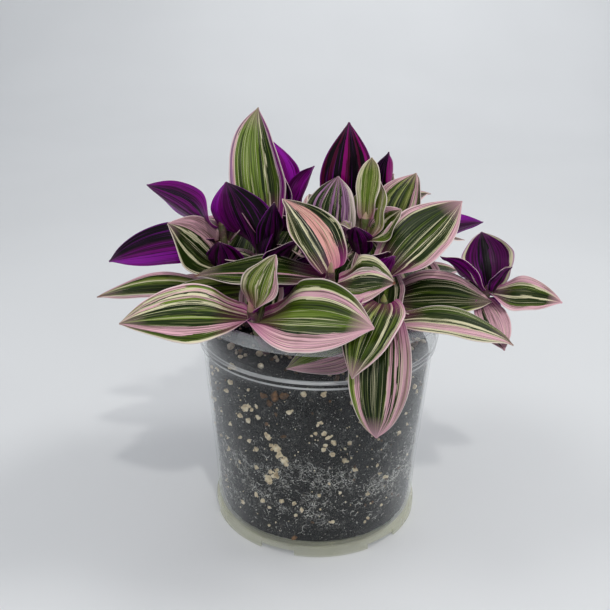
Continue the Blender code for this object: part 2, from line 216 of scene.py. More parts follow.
# Stripe colours by letter, as red, green and blue from 0 to 255.
COLOURS = {
    "k": (16, 24, 5),
    "d": (34, 52, 8),
    "o": (70, 90, 18),
    "g": (106, 130, 42),
    "l": (156, 166, 90),
    "c": (228, 222, 184),
    "w": (244, 226, 222),
    "p": (232, 180, 194),
    "P": (186, 60, 160),
    "m": (170, 122, 166),
    "s": (232, 168, 162),
    "b": (12, 2, 10),
    "D": (80, 2, 76),
    "r": (84, 2, 46),
    "u": (126, 4, 124),
    "M": (156, 6, 120),
    "V": (158, 24, 176),
}

# The stripes across each leaf's upper face, from its left edge to its right edge as seen
# along the leaf from its base. A letter is an equal share of the width.
UPPER = {
    "leaf_01": "mmpdggoggggoggggdgcddodmuu",
    "leaf_03": "DDuuDDDbDD",
    "leaf_08": "cdddcddkddcdpppppp",
    "leaf_10": "pppwcoodddddogclgdpp",
    "leaf_11": "coooppppddddggddoddcgpcdpcgp",
    "leaf_12": "pgglgddgoggdoglg",
    "leaf_13": "ccglgcgglcgpppp",
    "leaf_14": "ooocppcooogggoogoodppppppp",
    "leaf_15": "pppcldddcdddddcdksssssskddc",
    "leaf_16": "ddmdmddmdmdmmmww",
    "leaf_17": "mlmlmllggll",
    "leaf_19": "ccglggllgc",
    "leaf_21": "pppoldoldolldpcpod",
    "leaf_22": "ppcdoddddoddddoddcdddcppp",
    "leaf_25": "cDDDbbbDDDDc",
    "leaf_26": "ppcoddcddopp",
    "leaf_27": "pppddddoddddddodlc",
    "leaf_28": "ooodddcdcppppcdc",
    "leaf_29": "bbbDDlcc",
    "leaf_30": "pcdodcdoooddlodoogdcdp",
    "leaf_31": "ppppdpdpodddddddkddpplg",
    "leaf_32": "lclclglcl",
    "leaf_33": "pppoocoocoog",
    "leaf_34": "ccoowpcddddddoppppp",
    "leaf_35": "pPbbbPbbp",
    # leaf_36's mostly dark green stripes are its own stripes with painted shade, for the shadow on
    # its upper face.
    "leaf_36": "dddoddpoddddod",
    "leaf_38": "pppppdpp",
    "leaf_40": "pppggdg",
    "leaf_42": "cppdgddogdddopcc",
    "leaf_43": "pppcddgoddcdddpp",
    "leaf_44": "ppgddcddddoddppw",
    "leaf_45": "cpddogddcddddppp",
    "leaf_46": "ppodddgdcdddocpp",
    "inner_27": "DDuVuuVVuVVu",
}
UPPER_ANY = "ppcoddddgoddcdpp"

# The same for the lower face of the leaves that show it.
LOWER = {
    "leaf_02": "bDVVVuVVuVuu",
    "leaf_04": "uuDbuDuDuVV",
    "leaf_05": "bbbbDbDDuVV",
    "leaf_06": "bbbDbbbb",
    # leaf_06's near-black lower face is painted shade: the leaf sits in shadow behind the others.
    "leaf_07": "bbbbDDuVVVu",
    "leaf_18": "rMbrbbrMbbrbr",
    "leaf_20": "MMMMMbbbbb",
    "leaf_23": "VVuDDDuVV",
}
LOWER_ANY = "uDuuDuDDuDuuDu"
# The extra leaves inside the plant have darker lower faces than LOWER_ANY: painted shade for the
# shade within the foliage.
LOWER_SHADED_INNER = "DbDDbDDbDDb"

# Leaves whose shown blade is a little longer, wider or more turned: length, width, roll.
SHOWN = {
    "leaf_01": (58, 27, 0),
    "leaf_02": (44, 29, 25),
    "leaf_05": (39, 30, 45),
    "leaf_08": (38, 26, -66),
    "leaf_15": (38, 33, 0),
    "leaf_18": (49, 26, 0),
    "leaf_23": (46, 22, -60),
    "leaf_25": (24, 25, -10),
    "leaf_33": (22, 17, 55),
    "inner_02": (26, 18, -50),
}
EXTRA_WIDEST = 0.45

# Short young leaves in among the shoots, and low ones at the back that fill the plant out.
# They have no solid of their own: shoot, height, heading, lift, length, width, bend and cup.
EXTRA = {
    "inner_01": ("left", 116, 70, 48, 34, 22, 20, 30),
    "inner_02": ("left", 128, 165, 34, 26, 18, 15, 30),
    "inner_03": ("left", 138, 40, 66, 24, 18, 10, 40),
    "inner_04": ("left_tall", 122, 60, 44, 34, 22, 20, 30),
    "inner_05": ("left_tall", 126, -45, 50, 26, 19, 10, 40),
    "inner_06": ("left_tall", 112, -60, 38, 28, 22, 20, 30),
    "inner_07": ("centre_mid", 120, -100, 48, 24, 20, 15, 35),
    "inner_08": ("centre_mid", 126, 40, 46, 32, 22, 20, 30),
    "inner_09": ("centre_mid", 118, 150, 36, 32, 22, 20, 30),
    "inner_10": ("centre_front", 116, 60, 42, 30, 20, 15, 35),
    "inner_11": ("centre_right", 120, -60, 52, 26, 20, 15, 35),
    "inner_12": ("centre_right", 128, 150, 52, 28, 20, 15, 35),
    "inner_13": ("right", 118, 100, 46, 30, 22, 15, 35),
    "inner_14": ("right_back", 124, -40, 40, 32, 22, 20, 30),
    "inner_15": ("right_back", 118, 160, 48, 30, 22, 15, 35),
    "inner_16": ("right_trailing", 114, 110, 34, 32, 22, 20, 30),
    "inner_17": ("back_left", 122, 30, 40, 32, 22, 20, 30),
    "inner_18": ("back_left", 130, -110, 52, 28, 20, 15, 35),
    "inner_19": ("back_right", 124, 160, 42, 32, 22, 20, 30),
    "inner_20": ("back_right", 136, 40, 62, 28, 20, 15, 35),
    "inner_21": ("front_left", 112, 80, 44, 30, 20, 15, 35),
    "inner_22": ("front_right", 112, 80, 44, 30, 20, 15, 35),
    "inner_23": ("centre_back", 126, 200, 52, 30, 20, 15, 35),
    "inner_24": ("left_tall", 128, 172, 14, 28, 17, 20, 25),
    "inner_25": ("right_trailing", 118, 60, 50, 18, 13, 10, 50),
    "inner_28": ("left", 120, -95, 60, 27, 19, 0, 60),
    "inner_29": ("centre_right", 134, -110, 62, 18, 14, 0, 60),
    "inner_27": ("back_left", 145, 140, 74, 36, 27, -5, 30),
    "inner_26": ("right_trailing", 124, -30, 62, 14, 13, 10, 70),
    "back_01": ("back_left", 124, 96, 22, 42, 27, 45, 20),
    "back_02": ("back_left", 118, 74, 2, 46, 27, 50, 20),
    "back_03": ("back_left", 130, 140, 30, 38, 25, 40, 25),
    "back_04": ("centre_back", 122, 62, 18, 42, 26, 45, 20),
    "back_05": ("centre_back", 130, 118, 34, 34, 24, 40, 25),
    "back_06": ("back_right", 126, 104, 20, 38, 26, 45, 20),
    "back_07": ("back_right", 116, 42, 2, 46, 26, 50, 20),
    "back_08": ("back_right", 134, 20, 28, 36, 24, 45, 25),
    "back_09": ("right_back", 122, 58, 16, 44, 26, 45, 20),
    "back_10": ("right_back", 114, 30, -2, 46, 25, 45, 20),
    "back_11": ("left", 118, 128, 10, 46, 26, 45, 20),
    "back_12": ("left", 108, 150, 2, 44, 24, 35, 20),
}

# How brown or how pink the tips of some leaves are, from 0 to 1.
TIP_BROWN = {"leaf_34": 0.9, "leaf_36": 0.7, "leaf_10": 0.5, "leaf_28": 0.4}
TIP_PINK = {"leaf_14": 0.8, "leaf_22": 0.6, "leaf_26": 0.9, "leaf_31": 0.7, "leaf_30": 0.5}
TIP_PINK_ANY = 0.25
TIP_PINK_EXTRA = 0.2

# The largest pale grains and brown chips against the wall: degrees from the front
# (right is positive), height and radius.
BIG_GRAINS = (
    (-59, 85, 1.5), (-44, 92, 2.1), (-47, 83, 1.5), (-51, 77, 1.3), (-37, 74, 2.0), (-30, 71, 1.3),
    (-36, 67, 1.3), (-13, 77, 1.3), (-6, 87, 1.3), (3, 87, 1.2), (18, 85, 1.4), (2, 73, 1.4),
    (4, 67, 1.3), (6, 65, 1.5), (9, 62, 1.3), (17, 61, 1.2), (-24, 62, 1.6), (-20, 57, 2.2),
    (-18, 54, 1.8), (-16, 51, 2.1), (-32, 53, 1.3), (15, 52, 1.3), (21, 46, 1.3), (-21, 42, 2.2),
    (-25, 38, 2.0), (41, 36, 1.3), (-18, 28, 1.2), (-11, 28, 1.2), (-7, 25, 1.5), (-34, 27, 1.3),
    (-50, 60, 1.2), (-55, 44, 1.3), (35, 72, 1.2), (48, 58, 1.3), (30, 30, 1.2), (10, 18, 1.2),
    (-45, 18, 1.3), (100, 70, 2.0), (120, 45, 1.9), (150, 62, 2.1), (185, 50, 1.8), (215, 72, 2.0),
    (250, 40, 2.0), (275, 66, 1.7),
)
BARK_CHIPS = (
    (-20, 84, 2.7), (-26, 83, 2.0), (-15, 85, 2.2), (-23, 80, 1.8), (-11, 8, 1.9), (33, 24, 1.3),
)

# Lights: name, place, target, size (metres), power (watts) and colour.
LIGHTS = (
    ("key", (0.2, -0.78, 1.17), (0, 0, 0.08), 0.07, 3.3, (1, 0.98, 0.94)),
    ("left", (-0.55, -0.1, 0.95), (0, 0, 0.08), 0.4, 1.9, (1, 0.99, 0.97)),
    ("right", (0.6, 0.05, 0.9), (0, 0, 0.08), 0.3, 3.0, (1, 0.99, 0.97)),
    ("front", (0.1, -1.2, 0.9), (0, 0, 0.1), 0.9, 1.0, (1, 1, 1)),
    ("backdrop_wash", (0.15, 1.5, 0.95), (0.12, 1.55, 0), 1.4, 5.4, (1, 1, 1)),
)
WORLD_COLOUR = (0.92, 0.95, 1.0, 1)
WORLD_STRENGTH = 0.42

# Backdrop, in metres.
STAGE_NEAR = -2.5
STAGE_BEND = 0.9
STAGE_HEIGHT = 3.5
STAGE_HALF = 4.0


def shade(*colour):
    """A colour of 0 to 255 as linear light."""
    return tuple(
        c / 255 / 12.92 if c <= 10 else ((c / 255 + 0.055) / 1.055) ** 2.4 for c in colour
    )


def tint(letter):
    return shade(*COLOURS[letter])


# ---------------------------------------------------------------- node helpers


class Nodes:
    """Short ways to build one material's nodes."""

    def __init__(self, name):
        self.material = bpy.data.materials.new(name)
        self.material.use_nodes = True
        self.tree = self.material.node_tree
        self.tree.nodes.clear()

    def add(self, kind, inputs=(), **settings):
        node = self.tree.nodes.new(kind)
        for key, value in settings.items():
            setattr(node, key, value)
        for key, value in dict(inputs).items():
            self.put(node.inputs[key], value)
        return node

    def put(self, socket, value):
        if isinstance(value, bpy.types.NodeSocket):
            self.tree.links.new(value, socket)
        elif isinstance(value, tuple) and len(value) == 3 and socket.type == "RGBA":
            socket.default_value = (*value, 1)
        else:
            socket.default_value = value

    def math(self, operation, *values, clamp=False):
        node = self.add("ShaderNodeMath", operation=operation, use_clamp=clamp)
        for i, value in enumerate(values):
            self.put(node.inputs[i], value)
        return node.outputs[0]

    def mix(self, factor, a, b, blend="MIX"):
        node = self.add("ShaderNodeMix", data_type="RGBA", blend_type=blend)
        self.put(node.inputs[0], factor)
        self.put(node.inputs[6], a)
        self.put(node.inputs[7], b)
        return node.outputs[2]

    def vector(self, x, y, z):
        return self.add("ShaderNodeCombineXYZ", {"X": x, "Y": y, "Z": z}).outputs[0]

    def noise(self, vector, scale, detail=2.0, roughness=0.5):
        node = self.add(
            "ShaderNodeTexNoise",
            {"Vector": vector, "Scale": scale, "Detail": detail, "Roughness": roughness},
        )
        return node.outputs["Fac"]

    def times(self, a, b):
        return self.math("MULTIPLY", a, b)

    def surface(self, colour, roughness, normal, **more):
        """A Principled surface; more holds other sockets by name."""
        inputs = {"Base Color": colour, "Roughness": roughness, "Normal": normal, **more}
        return self.add("ShaderNodeBsdfPrincipled", inputs).outputs[0]

    def ramp(self, factor, stops, interpolation="LINEAR"):
        node = self.add("ShaderNodeValToRGB", {"Fac": factor})
        ramp = node.color_ramp
        ramp.interpolation = interpolation
        while len(ramp.elements) > 1:
            ramp.elements.remove(ramp.elements[-1])
        for i, (place, colour) in enumerate(stops):
            stop = ramp.elements[0] if i == 0 else ramp.elements.new(place)
            stop.position = place
            stop.color = (*colour, 1)
        return node.outputs["Color"]

    def map_range(self, value, low, high, to_low=0.0, to_high=1.0):
        ends = {"From Min": low, "From Max": high, "To Min": to_low, "To Max": to_high}
        node = self.add("ShaderNodeMapRange", {"Value": value, **ends}, clamp=True)
        return node.outputs["Result"]

    def attribute(self, name):
        return self.add("ShaderNodeAttribute", attribute_name=name).outputs["Fac"]

    def place(self):
        return self.add("ShaderNodeTexCoord").outputs["Object"]

    def bump(self, height, strength, distance):
        inputs = {"Height": height, "Strength": strength, "Distance": distance}
        return self.add("ShaderNodeBump", inputs).outputs["Normal"]

    def finish(self, shader):
        output = self.add("ShaderNodeOutputMaterial")
        self.tree.links.new(shader, output.inputs["Surface"])
        return self.material


def lengthwise(nodes, across, along, crossing, running, salt):
    """A place on the blade for noise that is stretched along the veins."""
    x = nodes.times(across, crossing)
    return nodes.vector(x, nodes.times(along, running), salt)


def stripes(nodes, bands, across, along, seed):
    """Uneven lengthwise stripes, from a string of letters."""
    slow = nodes.noise(lengthwise(nodes, across, along, 1.2, 2.2, seed), 1.6)
    fine = nodes.noise(nodes.vector(nodes.times(across, 9), along, seed + 3.1), 2.2, 3)
    shift = nodes.times(nodes.math("SUBTRACT", slow, 0.5), STRIPE_WANDER)
    jitter = nodes.times(nodes.math("SUBTRACT", fine, 0.5), STRIPE_WANDER)
    place = nodes.math("ADD", nodes.math("MULTIPLY_ADD", across, 0.5, 0.5), shift)
    place = nodes.math("ADD", place, jitter, clamp=True)
    stops = [
        (i / len(bands), tint(letter))
        for i, letter in enumerate(bands)
        if i == 0 or letter != bands[i - 1]
    ]
    return nodes.ramp(place, stops, "CONSTANT")


def leaf_surface(nodes, colour, across, along, rough, bump_strength):
    veins = nodes.math("SINE", nodes.times(across, 75))
    grain = nodes.noise(lengthwise(nodes, across, along, 14, 6, 0), 5, 3)
    height = nodes.math("MULTIPLY_ADD", grain, 0.6, nodes.times(veins, 0.5))
    roughness = nodes.map_range(grain, 0.3, 0.7, rough - 0.06, rough + 0.08)
    normal = nodes.bump(height, bump_strength, 0.00012)
    return nodes.surface(colour, roughness, normal, **{"Specular IOR Level": 0.18})


def upper_material(name, bands, seed, tip_pink, tip_brown):
    nodes = Nodes(name)
    across = nodes.attribute("across")
    along = nodes.attribute("along")
    colour = stripes(nodes, bands, across, along, seed)
    # Streaks, lighter and darker than the stripe that they lie in, run along the veins.
    streak = nodes.noise(lengthwise(nodes, across, along, 17, 1.1, seed + 8), 1.5, 2)
    dark = nodes.map_range(streak, 0.53, 0.57, 0, 0.7)
    colour = nodes.mix(dark, colour, shade(118, 126, 96), "MULTIPLY")
    light = nodes.map_range(streak, 0.38, 0.41, 0.3, 0)
    colour = nodes.mix(light, colour, shade(150, 150, 100), "SCREEN")
    pin = nodes.noise(lengthwise(nodes, across, along, 34, 0.8, seed + 14), 1.2, 1)
    colour = nodes.mix(nodes.map_range(pin, 0.665, 0.68, 0, 0.8), colour, tint("c"))
    colour = nodes.mix(nodes.map_range(pin, 0.33, 0.35, 0.7, 0), colour, tint("d"), "MULTIPLY")
    thread = nodes.noise(lengthwise(nodes, across, along, 48, 2.2, seed + 1), 1.0, 2)
    fine = nodes.map_range(thread, 0.52, 0.6, 0.0, 0.4)
    colour = nodes.mix(fine, colour, shade(120, 130, 90), "MULTIPLY")
    # A pink flush at the tip and a thin pale edge.
    tip = nodes.times(nodes.map_range(along, 0.78, 1.0), tip_pink)
    colour = nodes.mix(tip, colour, tint("p"))
    reach = nodes.math("ABSOLUTE", across)
    colour = nodes.mix(nodes.map_range(reach, 0.955, 0.985, 0, 0.75), colour, tint("w"))
    # The base of a blade is flushed with magenta, furthest along its margins.
    flush = nodes.map_range(along, 0.0, 0.3, 0.75, 0.0)
    flush = nodes.times(flush, nodes.map_range(reach, 0.2, 0.9, 0.35, 1.0))
    colour = nodes.mix(flush, colour, tint("M"))
    # An old tip has dried to brown.
    worn = nodes.noise(nodes.vector(across, nodes.times(along, 6), seed), 2.5, 3)
    worn = nodes.math("MULTIPLY_ADD", worn, 0.1, along)
    dry = nodes.map_range(worn, 1.0, 1.02, 0, tip_brown)
    colour = nodes.mix(dry, colour, shade(122, 74, 48))
    return nodes.finish(leaf_surface(nodes, colour, across, along, 0.36, 0.35))


def lower_material(name, bands, seed, tip_pink, _tip_brown=0):
    nodes = Nodes(name)
    across = nodes.attribute("across")
    along = nodes.attribute("along")
    colour = stripes(nodes, bands, across, along, seed + 20)
    streak = nodes.noise(lengthwise(nodes, across, along, 16, 0.9, seed + 5), 1.5, 2)
    colour = nodes.mix(nodes.map_range(streak, 0.52, 0.62, 0, 0.7), colour, tint("b"))
    colour = nodes.mix(nodes.map_range(streak, 0.33, 0.42, 0.36, 0), colour, tint("V"))
    reach = nodes.math("ABSOLUTE", across)
    colour = nodes.mix(nodes.map_range(reach, 0.93, 0.985, 0, 0.5), colour, tint("V"))
    tip = nodes.times(nodes.map_range(along, 0.85, 1.0), 0.6 * tip_pink)
    colour = nodes.mix(tip, colour, tint("m"))
    return nodes.finish(leaf_surface(nodes, colour, across, along, 0.33, 0.3))


# ------------------------------------------------------------------- geometry


def new_piece(name, points, faces, materials, replaced, smooth_angle=50.0):
    """A shown piece from points in millimetres. It rides on the plant's one body."""
    mesh = bpy.data.meshes.new(name)
    mesh.from_pydata([Vector(p) * MM for p in points], [], faces)
    mesh.shade_smooth()
    mesh.set_sharp_from_angle(angle=radians(smooth_angle))
    for material in materials:
        mesh.materials.append(material)
    piece = bpy.data.objects.new(name, mesh)
    bpy.context.collection.objects.link(piece)
    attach(piece, "root")
    if replaced:
        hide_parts(*replaced)
    return piece


def face_outwards(mesh):
    tidy = bmesh.new()
    tidy.from_mesh(mesh)
    bmesh.ops.recalc_face_normals(tidy, faces=tidy.faces)
    tidy.to_mesh(mesh)
    tidy.free()


def outward(angle):
    """The level direction at an angle in radians."""
    return Vector((cos(angle), sin(angle), 0))


def soil_height(x, y):
    """Height of the soil's surface: a low dome, higher on one side."""
    side = cos(radians(SOIL_HIGH_SIDE)) * x + sin(radians(SOIL_HIGH_SIDE)) * y
    reach = (x * x + y * y) ** 0.5 / STEP_RADIUS
    ripple = SOIL_RIPPLE * sin(x * RIPPLE_X) * cos(y * RIPPLE_Y)
    return SOIL_TOP + SOIL_DOME * (1 - reach * reach) + SOIL_TILT * side / STEP_RADIUS + ripple


def shoot_route(name, steps):
    """A smooth run of points through a shoot's own points, starting on the soil."""
    (x, y), *rest = SHOOTS[name]
    first = Vector(rest[0]) - Vector((x, y, SOIL_TOP))
    slope = Vector((first.x, first.y, 0)).length / first.length
    foot = soil_height(x, y) + LEAF_GAP + STEM_FOOT_ROOM * STEM_RADIUS * slope
    own = [Vector((x, y, foot))] + [Vector(p) for p in rest]
    route = []
    for i in range(len(own) - 1):
        before = own[i - 1] if i else 2 * own[0] - own[1]
        after = own[i + 2] if i + 2 < len(own) else 2 * own[-1] - own[-2]
        for step in range(steps):
            t = step / steps
            a = own[i + 1] - before
            b = after - own[i]
            route.append(
                own[i] * (1 - 3 * t**2 + 2 * t**3)
                + own[i + 1] * (3 * t**2 - 2 * t**3)
                + 0.5 * a * (t - 2 * t**2 + t**3)
                + 0.5 * b * (t**3 - t**2)
            )
    return route + [own[-1]]


def stem_radius(share):
    return STEM_RADIUS + (STEM_TIP_RADIUS - STEM_RADIUS) * share


def node_on(name, height):
    """The shoot's centre and radius at a height, on the CAD stem's coarse route."""
    route = shoot_route(name, 2)
    for i in range(len(route) - 1):
        low, high = route[i].z, route[i + 1].z
        if height <= high:
            share = (height - low) / (high - low)
            return route[i].lerp(route[i + 1], share), stem_radius((i + share) / (len(route) - 1))
    return route[-1], stem_radius(1)


def half_width(share, width, widest):
    """Half the blade's width at a share of its length: a clasping base, a pointed tip."""
    if share < widest:
        opened = sin(pi / 2 * (share / widest) ** LEAF_BASE_CURVE)
        part = LEAF_BASE_WIDTH + (1 - LEAF_BASE_WIDTH) * opened
    else:
        part = 1 - ((share - widest) / (1 - widest)) ** LEAF_TIP_CURVE
    return max(LEAF_TIP_HALF_WIDTH, part * width / 2)


def direction(azimuth, elevation):
    azimuth, elevation = radians(azimuth), radians(elevation)
    return Vector((cos(elevation) * cos(azimuth), cos(elevation) * sin(azimuth), sin(elevation)))


def blade_relief(u, v, seed):
    """How far the blade's middle surface lies above its plain arc, in millimetres."""
    fade = min(1, v / 0.25) * min(1, (1 - v) / 0.1)
    groove = -0.3 * exp(-((u / 0.09) ** 2))
    ribs = 0.09 * cos(u * 9 * pi)
    wave = 0.55 * u * u * sin(2 * pi * (1.9 * v + seed * 0.37))
    wave += 0.3 * sin(2 * pi * (1.1 * v + seed))
    uneven = 0.5 * noise.noise(Vector((u * 1.4, v * 3.2, seed * 1.7)))
    return fade * (groove + ribs + wave + uneven)


def leaf_sections(leaf, along, across, seed):
    """Rows of (point, normal) across the blade, from its base to its tip."""
    shoot, height, heading, lift, length, width, bend, sweep, roll, cup, widest = leaf
    centre, radius = node_on(shoot, height)
    azimuth = heading - sweep / 2
    out = outward(radians(azimuth))
    place = centre + out * (radius + LEAF_GAP + LEAF_SOLID / 2)
    rows = []
    for i in range(along + 1):
        share = i / along
        azimuth = heading + sweep * (share - 0.5)
        elevation = lift + bend * (0.5 - share)
        ahead = direction(azimuth, elevation)
        right = Vector((sin(radians(azimuth)), -cos(radians(azimuth)), 0))
        upward = right.cross(ahead)
        ramp = min(1, share / ROLL_END)
        lean = radians(roll) * ramp * ramp * (3 - 2 * ramp)
        side = right * cos(lean) - upward * sin(lean)
        face = upward * cos(lean) + right * sin(lean)
        sheath = max(0, 1 - share / SHEATH_END) ** 2
        curl = radians(cup + (SHEATH_CUP - cup) * sheath)
        half = half_width(share, width, widest)
        half *= 1 + 0.03 * noise.noise(Vector((share * 6, seed, 0.5)))
        row = []
        for j in range(across + 1):
            u = 2 * j / across - 1
            turn = curl * u
            normal = face * cos(turn) - side * sin(turn)
            point = place + half / curl * (side * sin(turn) + face * (1 - cos(turn)))
            row.append((point + normal * blade_relief(u, share, seed), normal))
        rows.append(row)
        middle = direction(
            heading + sweep * (share + 0.5 / along - 0.5), lift + bend * (0.5 - share - 0.5 / along)
        )
        place = place + middle * (length / along)
    return rows


def make_leaf(name, leaf, seed, replaced, tip_pink=0.0):
    rows = leaf_sections(leaf, LEAF_ALONG, LEAF_ACROSS, seed)
    top = []
    bottom = []
    marks = []
    for i, row in enumerate(rows):
        v = i / LEAF_ALONG
        for j, (point, normal) in enumerate(row):
            u = 2 * j / LEAF_ACROSS - 1
            thick = BLADE_EDGE + (BLADE_MIDDLE - BLADE_EDGE) * (1 - abs(u) ** 2.5) * (1 - 0.5 * v)
            top.append(point + normal * thick / 2)
            bottom.append(point - normal * thick / 2)
            marks.append((u, v))
    wide = LEAF_ACROSS + 1
    back = len(top)
    faces = []
    lower = []
    for i in range(LEAF_ALONG):
        for j in range(LEAF_ACROSS):
            a = i * wide + j
            faces.append((a, a + 1, a + wide + 1, a + wide))
            lower.append(0)
            faces.append((back + a, back + a + wide, back + a + wide + 1, back + a + 1))
            lower.append(1)
    edge = [i * wide for i in range(LEAF_ALONG)]
    edge += [LEAF_ALONG * wide + j for j in range(LEAF_ACROSS)]
    edge += [i * wide + LEAF_ACROSS for i in range(LEAF_ALONG, 0, -1)]
    edge += [j for j in range(LEAF_ACROSS, 0, -1)]
    for k, a in enumerate(edge):
        b = edge[(k + 1) % len(edge)]
        faces.append((a, b, back + b, back + a))
        lower.append(0)
    bands = UPPER.get(name, UPPER_ANY)
    # Extra leaves take the darker lower bands, which hold painted shade.
    under = LOWER.get(name, LOWER_ANY if replaced else LOWER_SHADED_INNER)
    upper = lower_material if "D" in bands else upper_material
    materials = [
        upper(name + "_upper", bands, seed, tip_pink, TIP_BROWN.get(name, 0)),
        lower_material(name + "_lower", under, seed, tip_pink),
    ]
    piece = new_piece(name + "_blade", top + bottom, faces, materials, replaced, 60)
    mesh = piece.data
    mesh.polygons.foreach_set("material_index", lower)
    for key, index in (("across", 0), ("along", 1)):
        values = [mark[index] for mark in marks] * 2
        mesh.attributes.new(key, "FLOAT", "POINT").data.foreach_set("value", values)
    face_outwards(mesh)
    return piece


def stem_material():
    nodes = Nodes("stem_skin")
    place = nodes.place()
    blotch = nodes.noise(place, 160, 3)
    tone = nodes.map_range(blotch, 0.35, 0.65)
    colour = nodes.mix(tone, shade(96, 108, 58), shade(104, 44, 84))
    speck = nodes.noise(place, 900, 2)
    pale = nodes.map_range(speck, 0.55, 0.75, 0, 0.4)
    colour = nodes.mix(pale, colour, shade(196, 170, 150))
    roughness = nodes.map_range(blotch, 0.3, 0.7, 0.35, 0.5)
    return nodes.finish(nodes.surface(colour, roughness, nodes.bump(speck, 0.3, 0.0002)))


def ring_tube(route, radii, sides):
    """Points and faces of a capped tube along a route."""
    points = []
    faces = []
    for i, centre in enumerate(route):
        ahead = route[min(i + 1, len(route) - 1)] - route[max(i - 1, 0)]
        turn = ahead.to_track_quat("Z", "Y")
        for k in range(sides):
            angle = 2 * pi * k / sides
            points.append(centre + turn @ Vector((radii[i] * cos(angle), radii[i] * sin(angle), 0)))
    for i in range(len(route) - 1):
        for k in range(sides):
            a, b = i * sides + k, i * sides + (k + 1) % sides
            faces.append((a, b, b + sides, a + sides))
    faces.append(tuple(reversed(range(sides))))
    faces.append(tuple(range(len(points) - sides, len(points))))
    return points, faces


def make_stem(name, material):
    """A stem with a swollen joint at each leaf and at its bare joints."""
    route = shoot_route(name, STEM_STEPS)
    joints = [leaf[1] for leaf in LEAVES.values() if leaf[0] == name]
    joints += [route[0].z + rise for rise in BARE_JOINTS]
    radii = []
    for i, place in enumerate(route):
        radius = stem_radius(i / (len(route) - 1)) - 0.25
        for height in joints:
            radius += JOINT_SWELL * exp(-(((place.z - height) / JOINT_REACH) ** 2))
        radii.append(min(radius, STEM_RADIUS + 0.2))
    points, faces = ring_tube(route, radii, STEM_SIDES)
    return new_piece("shoot_" + name, points, faces, [material], ["stem_" + name])


def make_bud(name, number, material):
    """The tight rolled young leaf at a shoot's top."""
    route = shoot_route(name, STEM_STEPS)
    ahead = (route[-1] - route[-3]).normalized()
    length = 4 + number % 3
    shares = [i / BUD_STEPS for i in range(BUD_STEPS + 1)]
    path = [route[-1] + ahead * (length * share - 1) for share in shares]
    radii = [BUD_RADIUS * (1 - share**1.6) + BUD_TIP_RADIUS for share in shares]
    points, faces = ring_tube(path, radii, BUD_SIDES)
    return new_piece("bud_" + name, points, faces, [material], [])


def bud_material():
    nodes = Nodes("young_leaf")
    tone = nodes.noise(nodes.place(), 220, 3)
    blend = nodes.map_range(tone, 0.35, 0.65)
    colour = nodes.mix(blend, shade(150, 158, 84), shade(206, 140, 160))
    return nodes.finish(nodes.surface(colour, 0.4, nodes.bump(tone, 0.2, 0.0002)))


# ------------------------------------------------------------------------ pot


def turned(profile, segments):
    points = []
    for step in range(segments):
        angle = 2 * pi * step / segments
        points += [(r * cos(angle), r * sin(angle), z) for r, z in profile]
    count = len(profile)
    faces = []
    for step in range(segments):
        here = step * count
        there = (step + 1) % segments * count
        for i in range(count):
            j = (i + 1) % count
            faces.append((here + i, here + j, there + j, there + i))
    return points, faces


def rounded(x, z, radius, start, end, steps=4):
    """Points of a quarter round about a centre, from one angle to another."""
    angles = [radians(start + (end - start) * i / steps) for i in range(steps + 1)]
    return [(x + radius * cos(angle), z + radius * sin(angle)) for angle in angles]


def pot_profile():
    rim_bottom = POT_HEIGHT - RIM_BAND
    outer = rounded(RIM_RADIUS - 0.9, POT_HEIGHT - 0.9, 0.9, 90, 0)
    outer += rounded(RIM_RADIUS - 0.5, rim_bottom + 0.5, 0.5, 0, -90)
    outer += [
        (COLLAR_TOP_RADIUS, rim_bottom - 0.3),
        (COLLAR_TOP_RADIUS - 0.15, rim_bottom - 1.2),
        (STEP_RADIUS + 0.7, STEP_TOP + 1.4),
    ]
    outer += rounded(STEP_RADIUS - 0.3, STEP_TOP - 0.1, 0.75, 60, -20)
    outer += [(STEP_RADIUS - 0.1, STEP_TOP - 1.3), (STEP_RADIUS - 0.1, STEP_BOTTOM + 1.0)]
    outer += rounded(STEP_RADIUS - 0.6, STEP_BOTTOM + 0.5, 0.6, 20, -80)
    wall = []
    for (high, wide), (low, narrow) in zip(WALL, WALL[1:]):
        for i in range(6):
            share = i / 6
            wall.append((wide + (narrow - wide) * share, high + (low - high) * share))
    wall.append((WALL[-1][1], WALL[-1][0]))
    ring = [(radius + (0.22 if 43 < height < 46 else 0), height) for radius, height in wall]
    skirt = [(FOOT_RADIUS - 0.6, SKIRT_TOP + 0.6)]
    skirt += rounded(FOOT_RADIUS - 0.4, SKIRT_TOP - 0.2, 0.4, 80, 0)
    skirt += rounded(FOOT_RADIUS - 0.4, 0.4, 0.4, 0, -90)
    skirt += rounded(FOOT_RADIUS - FOOT_THICKNESS + 0.3, 0.3, 0.3, -90, -180)
    skirt += [
        (FOOT_RADIUS - FOOT_THICKNESS - 0.1, FLOOR_BOTTOM - 0.5),
        (FOOT_RADIUS - 2 * FOOT_THICKNESS, FLOOR_BOTTOM),
    ]
    floor = [
        (CENTRE_HOLE_RADIUS, FLOOR_BOTTOM),
        (CENTRE_HOLE_RADIUS, FLOOR_TOP),
        (WALL[-1][1] - 2 * WALL_THICKNESS, FLOOR_TOP),
    ]
    inner = [(radius - WALL_THICKNESS, height) for radius, height in reversed(wall)]
    inner += [
        (STEP_RADIUS - STEP_THICKNESS, STEP_BOTTOM + 1.0),
        (STEP_RADIUS - 1.3, STEP_TOP - 0.4),
        (STEP_RADIUS - 0.8, STEP_TOP + 0.8),
        (COLLAR_TOP_RADIUS - WALL_THICKNESS, rim_bottom - 1.0),
        (COLLAR_TOP_RADIUS - WALL_THICKNESS + 0.2, POT_HEIGHT - 1.0),
    ]
    inner += rounded(COLLAR_TOP_RADIUS - 0.4, POT_HEIGHT - 0.4, 0.4, 180, 90)
    return outer + ring + skirt + floor + inner


